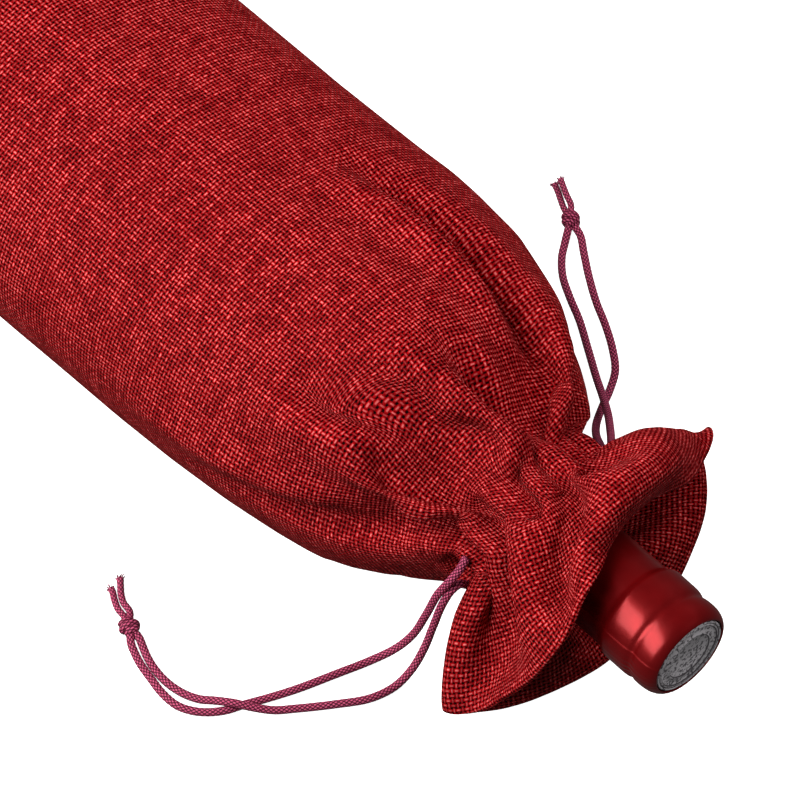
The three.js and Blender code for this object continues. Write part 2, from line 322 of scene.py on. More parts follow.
def thread_look():
    """Fine sewing thread with a soft satin shine."""
    look = Look("thread")
    grain = look.noise(look.object_place(), 1500.0, 2.0)
    look.set(Base_Color=look.mix(look.ease(grain, 0.35, 0.68), linear(110, 4, 10), linear(160, 16, 24)))
    look.set(Roughness=0.5, Specular_IOR_Level=0.2)
    return look.material


def braid_look():
    """A tubular braid: two sets of yarns that spiral opposite ways, with a painted highlight where each
    comes to the top and painted shade between.
    """
    look = Look("cord")
    plus, minus, times = look.plus, look.minus, look.times
    u, v = look.flat()
    round_way = times(u, BRAID_YARNS / (math.pi * CORD_DIAMETER))
    long_way = times(v, BRAID_YARNS / BRAID_LAY)
    one = plus(round_way, long_way)
    two = minus(round_way, long_way)
    whole_one = look.math("FLOOR", one)
    whole_two = look.math("FLOOR", two)
    parity = look.math("FRACT", times(plus(whole_one, whole_two), 0.5))
    one_on_top = look.math("LESS_THAN", parity, 0.25)
    crests = []
    for turn, whole in ((one, whole_one), (two, whole_two)):
        middle = minus(minus(turn, whole), 0.5)
        crests.append(look.math("COSINE", times(middle, math.pi)))
    first_way = times(crests[0], look.math("SQRT", crests[1]))
    second_way = times(crests[1], look.math("SQRT", crests[0]))
    level = plus(times(first_way, one_on_top), times(second_way, minus(1.0, one_on_top)))
    fibre = look.noise(look.join(times(u, 3000.0), times(v, 900.0)), 1.0, 3.0, 0.6)
    # Painted light: each yarn is coloured lighter on its crest and darker in the hollows between yarns; the
    # fibre noise is the yarn's own variation.
    tone = plus(level, times(minus(fibre, 0.5), 0.5))
    look.set(Base_Color=look.mix(look.ease(tone, 0.3, 0.95), linear(76, 12, 34), linear(206, 88, 124)))
    look.set(Roughness=0.5, Specular_IOR_Level=0.2)
    look.bump(level, 0.00016)
    return look.material


def plain_look(name, dark, light, scale, rough, depth):
    """A colour that varies a little, with a fine grain."""
    look = Look(name)
    grain = look.noise(look.object_place(), scale, 3.0, 0.6)
    look.set(Base_Color=look.mix(look.ease(grain, 0.3, 0.7), dark, light))
    look.set(Roughness=look.ease(grain, 0.3, 0.7, rough - 0.05, rough + 0.05))
    look.bump(grain, depth)
    return look.material


# ---- smooth lines through given points -------------------------------------------------
def fine_line(points):
    """Many points along a centripetal Catmull-Rom curve through these points."""
    points = np.asarray(points, dtype=float)
    ends = np.vstack([2 * points[0] - points[1], points, 2 * points[-1] - points[-2]])
    fine = []
    for a, b, c, d in zip(ends, ends[1:], ends[2:], ends[3:]):
        t1 = np.linalg.norm(b - a) ** 0.5
        t2 = t1 + np.linalg.norm(c - b) ** 0.5
        t3 = t2 + np.linalg.norm(d - c) ** 0.5
        t = np.linspace(t1, t2, 24, endpoint=False)[:, None]
        ab = a + (b - a) * t / t1
        bc = b + (c - b) * (t - t1) / (t2 - t1)
        cd = c + (d - c) * (t - t2) / (t3 - t2)
        abc = ab + (bc - ab) * t / t2
        bcd = bc + (cd - bc) * (t - t1) / (t3 - t1)
        fine.append(abc + (bcd - abc) * (t - t1) / (t2 - t1))
    fine.append(points[-1:])
    return np.vstack(fine)


def run_along(points):
    """How far along a line each of its points is."""
    return np.concatenate([[0], np.cumsum(np.linalg.norm(np.diff(points, axis=0), axis=1))])


def points_at(want, run, points):
    """The points at these distances along a line."""
    return np.stack([np.interp(want, run, points[:, k]) for k in range(points.shape[1])], axis=1)


def even_points(points, count, closed=False):
    """Points at even steps along a line or loop."""
    if closed:
        points = np.vstack([points, points[:1]])
    run = run_along(points)
    return points_at(np.linspace(0, run[-1], count, endpoint=not closed), run, points)


def smooth_line(points, step):
    """Points at even steps along the smooth curve through these points, and their distances along it."""
    fine = fine_line(points)
    run = run_along(fine)
    want = np.linspace(0, run[-1], max(4, int(round(run[-1] / step)) + 1))
    return points_at(want, run, fine), want


def smooth_step(part):
    return part * part * (3 - 2 * part)


def side_frames(line):
    """Two directions across a line at each of its points, turning as little as they can."""
    ahead = np.gradient(line, axis=0)
    ahead /= np.linalg.norm(ahead, axis=1, keepdims=True)
    up = np.array([0.0, 0.0, 1.0])
    if abs(ahead[0] @ up) > 0.9:
        up = np.array([1.0, 0.0, 0.0])
    first = []
    side = np.cross(up, ahead[0])
    for forward in ahead:
        side = side - forward * (side @ forward)
        side = side / np.linalg.norm(side)
        first.append(side)
    first = np.array(first)
    return first, np.cross(ahead, first)


def tube_mesh(line, run, radius, sides, height=None):
    """Points, faces and flat places of a closed tube. height(turn, run) gives the surface's relief."""
    first, second = side_frames(line)
    turn = np.arange(sides) * 2 * math.pi / sides
    radius = np.broadcast_to(np.asarray(radius, dtype=float), (len(line),))
    reach = radius[:, None] * np.ones((1, sides))
    if height is not None:
        reach = reach + height(turn[None, :], run[:, None])
    points = (
        line[:, None, :]
        + first[:, None, :] * (reach * np.cos(turn))[..., None]
        + second[:, None, :] * (reach * np.sin(turn))[..., None]
    ).reshape(-1, 3)
    faces = []
    for i in range(len(line) - 1):
        for k in range(sides):
            n = (k + 1) % sides
            faces.append((i * sides + k, i * sides + n, (i + 1) * sides + n, (i + 1) * sides + k))
    faces.append(tuple(reversed(range(sides))))
    last = (len(line) - 1) * sides
    faces.append(tuple(range(last, last + sides)))
    flat = np.stack([
        np.tile(turn * float(radius.mean()), len(line)),
        np.repeat(run, sides),
    ], axis=1)
    return points, faces, flat


def joined(parts):
    """Several (points, faces, flat) meshes as one."""
    points = []
    faces = []
    flat = []
    start = 0
    for some_points, some_faces, some_flat in parts:
        points.append(some_points)
        flat.append(some_flat)
        faces.extend(tuple(i + start for i in face) for face in some_faces)
        start += len(some_points)
    return np.vstack(points), faces, np.vstack(flat)


# ---- the drawcords ----------------------------------------------------------------------
BRAID_RELIEF = 0.00012
TAIL_RADIUS = 0.00105
KNOT_RADIUS = 0.00118
CORD_STEP = 0.00028
FIBRES = 30
FIBRE_LENGTH = 0.0024
FIBRE_SPREAD = 0.5
FIBRE_RADIUS = 0.00011

# The height of a cord's middle where it lies on the table.
LYING = 0.00135
# Places from the bottle's base, along, across and up.
STRANDS = {
    "right_cord_strand_a": [
        (0.2519, -0.0267, 0.0454), (0.2519, -0.029, 0.0422), (0.2512, -0.0318, 0.0388),
        (0.249, -0.0346, 0.0325), (0.2466, -0.037, 0.022), (0.2438, -0.0396, 0.0115),
        (0.2406, -0.0434, 0.0048), (0.2373, -0.05, 0.0016), (0.234, -0.0606, LYING),
        (0.2306, -0.0718, LYING), (0.2273, -0.0804, LYING), (0.2246, -0.0866, LYING),
        (0.2225, -0.092, LYING), (0.2198, -0.096, LYING), (0.2163, -0.0992, LYING),
        (0.2119, -0.1013, LYING), (0.206, -0.1017, LYING), (0.1996, -0.1008, LYING),
        (0.1939, -0.0998, LYING), (0.1905, -0.0988, 0.0015), (0.1874, -0.0977, 0.0022),
    ],
    "right_cord_strand_b": [
        (0.2519, -0.0267, 0.0326), (0.2519, -0.0293, 0.0352), (0.2516, -0.032, 0.0344),
        (0.2508, -0.0348, 0.029), (0.25, -0.0372, 0.0205), (0.2494, -0.0404, 0.011),
        (0.249, -0.0446, 0.0046), (0.2486, -0.0506, 0.0015), (0.2469, -0.0586, LYING),
        (0.2417, -0.0675, LYING), (0.2355, -0.0766, LYING), (0.2318, -0.0819, 0.0017),
        (0.2276, -0.0863, 0.0029), (0.2233, -0.0899, 0.00395), (0.2187, -0.0928, 0.0029),
        (0.2146, -0.0953, 0.0016), (0.2099, -0.0973, LYING), (0.2042, -0.0983, LYING),
        (0.1985, -0.098, LYING), (0.1937, -0.0969, LYING), (0.1904, -0.0957, 0.0015),
        (0.1872, -0.0946, 0.0022),
    ],
    "left_cord_strand_a": [
        (0.2481, 0.0267, 0.0454), (0.2481, 0.0292, 0.0423), (0.2472, 0.0324, 0.0388),
        (0.2442, 0.0368, 0.0334), (0.2392, 0.042, 0.0274), (0.233, 0.0478, 0.0212),
        (0.2252, 0.0546, 0.0148), (0.2162, 0.0614, 0.0084), (0.2065, 0.0679, 0.0036),
        (0.196, 0.0745, 0.0016), (0.186, 0.0803, LYING), (0.1776, 0.0842, LYING),
        (0.1702, 0.0882, LYING), (0.1646, 0.093, 0.0014), (0.1612, 0.0974, 0.0016),
        (0.1592, 0.1002, 0.0022),
    ],
    "left_cord_strand_b": [
        (0.2481, 0.0267, 0.0326), (0.2481, 0.0296, 0.0349), (0.2464, 0.0328, 0.0336),
        (0.2416, 0.037, 0.028), (0.2354, 0.0416, 0.0214), (0.2284, 0.0468, 0.0148),
        (0.2216, 0.0536, 0.008), (0.2158, 0.0616, 0.0032), (0.2114, 0.0692, 0.0015),
        (0.2072, 0.0752, LYING), (0.2004, 0.0804, LYING), (0.1926, 0.0849, LYING),
        (0.1842, 0.089, LYING), (0.1754, 0.0942, LYING), (0.1676, 0.0994, 0.0015),
        (0.1624, 0.1028, 0.0022),
    ],
}
TAILS = {
    "right_cord_tail_a": [
        (0.1785, -0.093, 0.0022), (0.1749, -0.0923, 0.0015), (0.1716, -0.0909, LYING),
        (0.1693, -0.0896, LYING), (0.168, -0.0891, LYING),
    ],
    "right_cord_tail_b": [
        (0.1784, -0.0907, 0.0022), (0.1743, -0.0897, 0.0015), (0.1714, -0.0882, LYING),
        (0.169, -0.0864, LYING), (0.167, -0.0848, LYING),
    ],
    "left_cord_tail_a": [
        (0.151, 0.1065, 0.0022), (0.1477, 0.1084, 0.0015), (0.1444, 0.1102, LYING),
        (0.1416, 0.1115, LYING),
    ],
    "left_cord_tail_b": [
        (0.1522, 0.1083, 0.0035), (0.1486, 0.1099, 0.0035), (0.1452, 0.1116, 0.0034),
        (0.1426, 0.113, 0.0033),
    ],
}
KNOTS = {
    "right_cord_knot": ((0.1829, -0.0946, 0.00305), 0.3),
    "left_cord_knot": ((0.1563, 0.1044, 0.00305), -0.72),
}


def placed(points):
    """Moves places along the bag into the frame."""
    return np.asarray(points, dtype=float) + np.array([BASE_X, 0.0, 0.0])


def braid_height(turn, run):
    """A tubular braid's relief: two sets of yarns that spiral opposite ways, over and under."""
    one = (BRAID_YARNS * turn + 2 * math.pi * BRAID_YARNS * run / BRAID_LAY) / (2 * math.pi)
    two = (BRAID_YARNS * turn - 2 * math.pi * BRAID_YARNS * run / BRAID_LAY) / (2 * math.pi)
    over = (np.floor(one) + np.floor(two)) % 2 < 1
    across_one = np.cos(math.pi * (one - np.floor(one) - 0.5))
    across_two = np.cos(math.pi * (two - np.floor(two) - 0.5))
    long_way = np.where(over, across_two, across_one)
    short_way = np.where(over, across_one, across_two)
    return BRAID_RELIEF * (np.sqrt(np.maximum(long_way, 0)) * short_way - 0.8)


def braided(name, points, radius, material):
    """A braided cord along these points, and every twelfth point of its middle line."""
    line, run = smooth_line(points, CORD_STEP)
    piece = new_object(name, *tube_mesh(line, run, radius, 26, braid_height))
    piece.data.materials.append(material)
    return piece, line[::12]


def frayed_end(points, rng):
    """Loose fibres that fan out from a cord's cut end."""
    end = np.asarray(points[-1])
    ahead = end - np.asarray(points[-2])
    ahead /= np.linalg.norm(ahead)
    side = np.cross([0, 0, 1.0], ahead)
    fibres = []
    for _ in range(FIBRES):
        turn = rng.uniform(0, 2 * math.pi)
        lean = rng.uniform(0.1, FIBRE_SPREAD)
        away = side * math.cos(turn) + np.array([0, 0, 1.0]) * math.sin(turn)
        start = end - ahead * 0.0012 + away * rng.uniform(0.2, 0.9) * TAIL_RADIUS
        reach = FIBRE_LENGTH * rng.uniform(0.6, 1.0)
        middle = start + ahead * reach * 0.55 + away * reach * lean * 0.3
        tip = start + ahead * reach + away * reach * lean + np.array([0, 0, -0.0004])
        for point in (middle, tip):
            point[2] = max(point[2], 0.0004)
        line, run = smooth_line([start, middle, tip], 0.0005)
        fibres.append(tube_mesh(line, run, FIBRE_RADIUS, 5))
    return joined(fibres)


def knot_route(middle, turn):
    """A cord coiled round the strands and tucked in at both ends, as a tight overhand knot shows."""
    turns = 2.3
    count = 44
    end_reach, added_reach = 0.0005, 0.00125
    half_length = 0.0021
    slant = 0.42
    route = []
    for i in range(count + 1):
        part = i / count
        angle = part * turns * 2 * math.pi + 0.9
        ends = min(1.0, 7 * part, 7 * (1 - part))
        reach = end_reach + added_reach * ends
        along = half_length * (1 - 2 * part)
        across = reach * math.cos(angle)
        up = 0.95 * reach * math.sin(angle)
        along += slant * across
        route.append((
            middle[0] + along * math.cos(turn) - across * math.sin(turn),
            middle[1] + along * math.sin(turn) + across * math.cos(turn),
            middle[2] + up,
        ))
    return route


def add_cords(material):
    rng = random.Random(5)
    pieces = {}
    for name, (middle, turn) in KNOTS.items():
        side = name.split("_")[0]
        route = knot_route(placed([middle])[0], turn)
        knot, _ = braided(name + "_tied", route, KNOT_RADIUS, material)
        stand_for(knot, side + "_cord", "cord", name)
        pieces[side] = [knot]
    for name, points in TAILS.items():
        side = name.split("_")[0]
        points = placed(points)
        inside = placed([KNOTS[side + "_cord_knot"][0]])[0]
        line, run = smooth_line(np.vstack([inside * 0.7 + points[0] * 0.3, points]), CORD_STEP)
        body = tube_mesh(line, run, TAIL_RADIUS, 24, braid_height)
        tail = new_object(name + "_braid", *joined([body, frayed_end(points, rng)]))
        tail.data.materials.append(material)
        stand_for(tail, side + "_cord", "cord", name)
        pieces[side].append(tail)
    for name, points in STRANDS.items():
        side = name.split("_")[0]
        inside = KNOTS[side + "_cord_knot"][0]
        points = placed([*points, inside])
        points[-1] = points[-1] * 0.6 + points[-2] * 0.4
        strand, line = braided(name + "_braid", points, CORD_DIAMETER / 2, material)
        tuple(points[4])
        tuple(points[-4])
        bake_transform(strand)
        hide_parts(name)
        length = float(np.linalg.norm(np.diff(line, axis=0), axis=1).sum())
        tuple(points[0])
        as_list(pieces[side] if name.endswith("_a") else [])


# ---- the bottle --------------------------------------------------------------------------
# Profiles are (along, radius).
GLASS_OUTSIDE = [
    (0.022, 0.0), (0.019, 0.008), (0.01, 0.02), (0.002, 0.028), (0.0, 0.031), (0.0012, 0.0346),
    (0.005, 0.0375), (0.03, 0.0375), (0.1, 0.0375), (0.17, 0.0375), (0.19, 0.0375), (0.199, 0.0366),
    (0.207, 0.034), (0.214, 0.0296), (0.22, 0.025), (0.226, 0.0208), (0.232, 0.0176), (0.239, 0.0152),
    (0.247, 0.0139), (0.256, 0.0133), (0.2936, 0.0133), (0.2954, 0.0147), (0.3044, 0.0147),
    (0.3054, 0.0139), (0.3068, 0.0142), (0.311, 0.0142), (0.3133, 0.0122),
]
GLASS_INSIDE = [
    (0.3133, 0.00925), (0.25, 0.00925), (0.243, 0.011), (0.235, 0.0136), (0.227, 0.0172),
    (0.219, 0.0226), (0.212, 0.0276), (0.205, 0.0316), (0.197, 0.0338), (0.188, 0.0345), (0.1, 0.0345),
    (0.012, 0.0345), (0.007, 0.0315), (0.0065, 0.029), (0.014, 0.021), (0.023, 0.009), (0.026, 0.0),
]
WINE = [
    (0.0263, 0.0), (0.0234, 0.0092), (0.0144, 0.0212), (0.0072, 0.0292), (0.0076, 0.031),
    (0.0123, 0.0341), (0.1, 0.0341), (0.1878, 0.0341), (0.1966, 0.0334), (0.2046, 0.0312),
    (0.2116, 0.0272), (0.2186, 0.0222), (0.2266, 0.0168), (0.2346, 0.0132), (0.2428, 0.0106),
    (0.25, 0.0089), (0.262, 0.0089), (0.262, 0.0),
]
CORK = [
    (0.2679, 0.0), (0.2679, 0.00835), (0.2687, 0.00895), (0.28, 0.0089), (0.3, 0.00895),
    (0.3121, 0.00895), (0.3129, 0.00835), (0.3129, 0.0),
]
CAPSULE = [
    (0.2565, 0.0142), (0.275, 0.0142), (0.2922, 0.0142), (0.2934, 0.01428), (0.2944, 0.0151),
    (0.2954, 0.0155), (0.2964, 0.01552), (0.302, 0.01552), (0.3036, 0.01548), (0.3046, 0.0152),
    (0.3054, 0.0148), (0.306, 0.0147), (0.3066, 0.0148), (0.3073, 0.015), (0.3084, 0.01512),
    (0.3104, 0.01512), (0.3122, 0.01488), (0.3136, 0.0143), (0.3146, 0.0135), (0.315, 0.0128),
    (0.3148, 0.0126), (0.3142, 0.0126), (0.3136, 0.0126), (0.3113, 0.0145), (0.3067, 0.0145),
    (0.3056, 0.01425), (0.3048, 0.015), (0.2951, 0.015), (0.2934, 0.0137), (0.2565, 0.0137),
]
DISC = [
    (0.3136, 0.0), (0.3136, 0.0122), (0.3144, 0.0122), (0.31475, 0.01205), (0.31475, 0.01165),
    (0.31445, 0.01145), (0.31445, 0.0112), (0.31475, 0.011), (0.31475, 0.0107), (0.31445, 0.0105),
    (0.31445, 0.0082), (0.31475, 0.008), (0.31475, 0.0077), (0.31445, 0.0075), (0.31445, 0.0),
]


def turned(name, profile, sides=160, wobble=None, closed=False, rounded=0):
    """A profile turned round the bottle's axis. wobble(along, turn) adds to the radius.

    closed joins the profile's ends. rounded is how many times the mesh is subdivided.
    """
    profile = np.asarray(profile, dtype=float)
    rings = []
    points = []
    for along, radius in profile:
        if radius < 1e-9:
            rings.append([len(points)])
            points.append((BASE_X + along, 0.0, AXIS_HEIGHT))
            continue
        ring = []
        for k in range(sides):
            turn = 2 * math.pi * k / sides
            reach = radius + (wobble(along, turn) if wobble else 0.0)
            ring.append(len(points))
            points.append((
                BASE_X + along,
                reach * math.cos(turn),
                AXIS_HEIGHT + reach * math.sin(turn),
            ))
        rings.append(ring)
    faces = []
    pairs = list(zip(rings, rings[1:]))
    if closed:
        pairs.append((rings[-1], rings[0]))
    for first, second in pairs:
        for k in range(sides):
            n = (k + 1) % sides
            if len(first) == 1:
                faces.append((first[0], second[n], second[k]))
            elif len(second) == 1:
                faces.append((first[k], first[n], second[0]))
            else:
                faces.append((first[k], first[n], second[n], second[k]))
    piece = new_object(name, points, faces)
    if rounded:
        subdivide(piece, rounded)
    return piece


def apply_modifier(piece, modifier):
    bpy.context.view_layer.objects.active = piece
    bpy.ops.object.modifier_apply(modifier=modifier.name)


def subdivide(piece, levels):
    modifier = piece.modifiers.new("smooth", "SUBSURF")
    modifier.levels = levels
    modifier.render_levels = levels
    modifier.uv_smooth = "PRESERVE_BOUNDARIES"
    apply_modifier(piece, modifier)


BODY_RADIUS = 0.0375
LABEL_ENDS = (0.052, 0.142)
LABEL_HALF_TURN = 1.15
LABEL_LIFT = 0.00042
LABEL_HALF_THICK = 0.00012
CRIMPS = 46
CRIMP_DEPTH = 0.00018
OVERLAP_DEPTH = 0.00016
UNEVEN_DEPTH = 0.00006


def capsule_wobble(along, turn):
    """The shrunk skirt: small crimps under the band, a lengthwise overlap and a slight unevenness."""
    low = max(0.0, math.cos(turn - math.radians(235))) ** 2
    crimp = math.sin(turn * CRIMPS) * CRIMP_DEPTH * low
    band = 1.0 if 0.3036 < along < 0.3078 else 0.25
    overlap = turn - math.radians(158)
    edge = 1 + math.exp(-max(-40.0, min(40.0, overlap * 260)))
    step = OVERLAP_DEPTH / edge * math.exp(-max(0.0, overlap) * 5)
    uneven = UNEVEN_DEPTH * math.sin(3 * turn + along * 400)
    return crimp * band + step + uneven


def add_bottle(looks):
    made = {
        "bottle_glass": (
            turned("bottle_glass_blown", GLASS_OUTSIDE + GLASS_INSIDE, 128, rounded=1), "glass",
        ),
        "wine": (turned("wine_fill", WINE, 96, rounded=1), "wine"),
        "cork": (turned("cork_stopper", CORK, 64), "cork"),
        "capsule_skirt": (
            turned("capsule_shrunk", CAPSULE, 288, capsule_wobble, closed=True, rounded=1), "capsule",
        ),
        "capsule_disc": (turned("capsule_top", DISC, 192), "capsule_disc"),
    }
    for node, (piece, slot) in made.items():
        piece.data.materials.append(looks[slot])
        stand_for(piece, "bottle", slot, node)
    add_label(looks["label"])


def add_label(material):
    """A plain paper label bent round the bottle."""
    start, end = LABEL_ENDS
    half = LABEL_HALF_TURN
    radius = BODY_RADIUS + LABEL_LIFT
    columns, rows = 72, 24
    points = []
    flat = []
    for layer in (LABEL_HALF_THICK, -LABEL_HALF_THICK):
        for i in range(rows + 1):
            for k in range(columns + 1):
                turn = math.pi / 2 - half + 2 * half * k / columns
                along = start + (end - start) * i / rows
                reach = radius + layer
                up = AXIS_HEIGHT + reach * math.sin(turn)
                points.append((BASE_X + along, reach * math.cos(turn), up))
                flat.append((k / columns, i / rows))
    faces = []
    wide = columns + 1
    back = wide * (rows + 1)
    for i in range(rows):
        for k in range(columns):
            a = i * wide + k
            faces.append((a, a + 1, a + 1 + wide, a + wide))
            faces.append((back + a, back + a + wide, back + a + 1 + wide, back + a + 1))
    for i in range(rows):
        for k in (0, columns):
            a = i * wide + k
            quad = (a, a + wide, back + a + wide, back + a)
            faces.append(quad if k == 0 else tuple(reversed(quad)))
    for k in range(columns):
        for i in (0, rows):
            a = i * wide + k
            quad = (a, back + a, back + a + 1, a + 1)
            faces.append(quad if i == 0 else tuple(reversed(quad)))
    piece = new_object("bottle_label_paper", points, faces, flat)
    piece.data.materials.append(material)
    stand_for(piece, "bottle", "label", "bottle_label")


# ---- the cloth ---------------------------------------------------------------------------
ROUND = 0.326       # the cloth's length round the bag
LENGTH = 0.367      # bottom seam to rim
CASING = 0.322      # bottom seam to the middle of the drawcord channel
CASING_HALF = 0.0057
CASING_PLACE = 0.250
CLOTH_THICK = 0.0011
HEM_THICK = 0.0022
CHANNEL_THICK = 0.0030
ACROSS = 132
RUNS = 150
STEP_U = ROUND / ACROSS
STEP_V = LENGTH / (RUNS - 1)
SEAM_END = -0.028   # where the bottom seam lies before the cloth is drawn in
WEDGE = 0.052

# (along, radius) of what the cloth may touch.
BOTTLE = np.array([
    (-0.001, 0.0), (0.0, 0.031), (0.0015, 0.035), (0.005, 0.0375), (0.19, 0.0375), (0.199, 0.0366),
    (0.207, 0.034), (0.214, 0.0296), (0.22, 0.025), (0.226, 0.0208), (0.232, 0.0176), (0.239, 0.0155),
    (0.247, 0.0146), (0.2934, 0.0145), (0.295, 0.0158), (0.3046, 0.0158), (0.3142, 0.0152),
    (0.3155, 0.013),
])
# A filling, assumed to be packed round the bottle: along, reach to the left and right, top, underside.
FILLING = np.array([
    (-0.03, 0.066, 0.066, 0.015, 0.012),
    (-0.01, 0.066, 0.066, 0.044, 0.003),
    (0.004, 0.064, 0.064, 0.069, 0.0008),
    (0.012, 0.0635, 0.063, 0.0765, 0.0008),
    (0.04, 0.0625, 0.0615, 0.0775, 0.0008),
    (0.09, 0.063, 0.0605, 0.0775, 0.0008),
    (0.15, 0.063, 0.057, 0.0775, 0.0008),
    (0.18, 0.0605, 0.053, 0.076, 0.0008),
    (0.2, 0.053, 0.047, 0.073, 0.001),
    (0.215, 0.043, 0.039, 0.067, 0.006),
    (0.228, 0.031, 0.029, 0.059, 0.015),
    (0.24, 0.02, 0.02, 0.055, 0.022),
    (0.25, 0.015, 0.015, 0.0535, 0.0245),
    (0.4, 0.001, 0.001, 0.04, 0.038),
])
# Where the ruffle's rim lies: along, across and up, from the left side over the top and back below.
RIM_ABOVE = [
    (0.268, 0.055, 0.031), (0.2731, 0.0377, 0.044), (0.2741, 0.0263, 0.052), (0.2775, 0.0103, 0.058),
    (0.2823, -0.0031, 0.06), (0.289, -0.0181, 0.057), (0.292, -0.03, 0.046), (0.2885, -0.0345, 0.034),
    (0.283, -0.0385, 0.022), (0.2747, -0.043, 0.009), (0.2668, -0.0478, 0.0035),
]
RIM_BELOW = [
    (0.2668, -0.0478, 0.0035), (0.2734, -0.037, 0.0024), (0.2782, -0.0236, 0.002),
    (0.2811, -0.0084, 0.002), (0.2815, 0.005, 0.002), (0.28, 0.022, 0.002), (0.2763, 0.0372, 0.003),
    (0.2721, 0.0456, 0.008), (0.2671, 0.056, 0.013), (0.259, 0.066, 0.013), (0.25, 0.072, 0.015),
    (0.255, 0.069, 0.022), (0.262, 0.062, 0.028), (0.268, 0.055, 0.031),
]
# Round the drawn-in neck, in degrees from the left side over the top: 1 on a fold's ridge, 0 in its valley.
GATHERS = [
    (0, 0.6), (10, 0.25), (24, 1.0), (37, 0.3), (46, 0.75), (55, -0.1), (70, 1.1), (82, 0.3),
    (92, 0.85), (101, 0.2), (116, 1.1), (135, -0.15), (148, 0.95), (160, 0.1), (171, 0.85), (180, 0.6),
    (190, 0.2), (202, 1.0), (214, 0.2), (226, 0.95), (238, 0.1), (250, 1.0), (262, 0.2), (274, 0.9),
    (286, 0.1), (298, 1.0), (310, 0.2), (322, 0.95), (334, 0.15), (347, 1.0), (360, 0.6),
]
NECK_LEFT = 0.0290
NECK_RIGHT = 0.0278
NECK_UP = 0.0212
NECK_DOWN = 0.0225
FOLD_SIDE = 0.0124
FOLD_TOP = 0.0060
FOLD_LEAN = 0.0036
# The cloth solver's chosen settings. PULL_DOWN is about half of real gravity.
# Lengthwise rest lengths are the flat ones times LENGTH_SHARE, and shorter still at the two sides.
PULL_DOWN = 5.0
DRAG = 8
LAST_DRAG = 40
RIM_HOLD = 0.3
STRETCH_GIVE = 0.002
SHEAR_GIVE = 0.15
CLOTH_WEIGHT = 0.32
CLOTH_STIFFNESS = 3e-4
LENGTH_SHARE = 0.972
LEFT_SHORTER = 0.055
RIGHT_SHORTER = 0.11
TABLE_LIFT = 0.0008
TABLE_SLIP = 0.4
BOTTLE_GAP = 0.0008
BOTTLE_START = -0.0008
BOTTLE_END = 0.3155
# The rows this near the casing's middle are held. The bottom seam is drawn to SEAM_PLACE, in a bow.
HELD_HALF = 0.0032
NEAR_CASING = 0.003
SEAM_PLACE = -0.020
SEAM_BOW = 0.010
SEAM_HALF = 0.08
# Where the cloth turns stiffer towards the hem and where it is double, each with the length it takes.
STIFF_FROM = 0.303
STIFF_WITHIN = 0.006
HEM_STIFFER = 3
HEM_FROM = 0.306
HEM_WITHIN = 0.003


def oval(half_width, half_height, count):
    turn = np.linspace(0, 2 * math.pi, 721)[:-1]
    edge = np.stack([half_width * np.cos(turn), half_height * np.sin(turn)], axis=1)
    return even_points(edge, count, closed=True)


def oval_width(half_height):
    """The half width of an oval of this height whose edge is the cloth's length round the bag."""
    low, high = ROUND / 8, ROUND / 4
    for _ in range(40):
        width = (low + high) / 2
        ratio = ((width - half_height) / (width + half_height)) ** 2
        edge = math.pi * (width + half_height) * (1 + 3 * ratio / (10 + math.sqrt(4 - 3 * ratio)))
        low, high = (low, width) if edge > ROUND else (width, high)
    return width


def open_bag():
    """The bag before its cords are pulled: a tube that closes to a flat bottom seam."""
    grid = np.zeros((RUNS, ACROSS, 3))
    for row in range(RUNS):
        v = row * STEP_V
        part = min(v / WEDGE, 1.0)
        half_height = 0.0006 + 0.0398 * math.sin(part * math.pi / 2)
        grid[row, :, 0] = SEAM_END + 0.6 * min(v, WEDGE) + max(v - WEDGE, 0.0)
        section = oval(oval_width(half_height), half_height, ACROSS)
        grid[row, :, 1] = section[:, 0]
        grid[row, :, 2] = 0.014 + 0.0268 * part + section[:, 1]
    return grid


def drawn_neck():
    """The cloth's folded loop where the cords hold it, as (along, across, up) from the neck's middle."""
    places = np.array([g[0] for g in GATHERS], dtype=float)
    levels = np.array([g[1] for g in GATHERS], dtype=float)
    halves = []
    for half, height in ((0, NECK_UP), (1, NECK_DOWN)):
        turn = np.linspace(180 * half, 180 * half + 180, 721)
        k = np.clip(np.searchsorted(places, turn, side="right") - 1, 0, len(places) - 2)
        part = (turn - places[k]) / (places[k + 1] - places[k])
        rise = levels[k + 1] - levels[k]
        level = levels[k] + rise * (0.5 - 0.5 * np.cos(math.pi * part))
        angle = np.radians(turn)
        reach = np.where(np.cos(angle) > 0, NECK_LEFT, NECK_RIGHT)
        across = (reach - FOLD_SIDE * (1 - level)) * np.cos(angle)
        up = (height - FOLD_TOP * (1 - level)) * np.sin(angle)
        along = FOLD_LEAN * rise * np.sin(math.pi * part)
        along = along + 0.0045 * np.clip(np.sin(angle), 0, 1) - 0.0025 * np.cos(angle) - 0.002
        half_loop = even_points(np.stack([along, across, up], axis=1), ACROSS // 2 + 1)
        halves.append(half_loop[:-1])
    return np.vstack(halves)


def ruffle_rim():
    """Where each point of the rim is held, at even steps round each half."""
    halves = [even_points(fine_line(half), ACROSS // 2 + 1)[:-1] for half in (RIM_ABOVE, RIM_BELOW)]
    return np.vstack(halves)


def pull_together(first, second, free_first, free_second, length, give):
    """Moves pairs of points towards being this far apart."""
    gap = second - first
    far = np.sqrt((gap * gap).sum(-1, keepdims=True)) + 1e-9
    gap *= (far - length) / (far * (free_first + free_second + give))
    first += free_first * gap
    second -= free_second * gap


def straighten(first, middle, last, free_first, free_middle, free_last, give):
    """Moves three points towards lying evenly in a line."""
    bend = first + last - 2 * middle
    bend /= free_first + 4 * free_middle + free_last + give
    first -= free_first * bend
    last -= free_last * bend
    middle += 2 * free_middle * bend


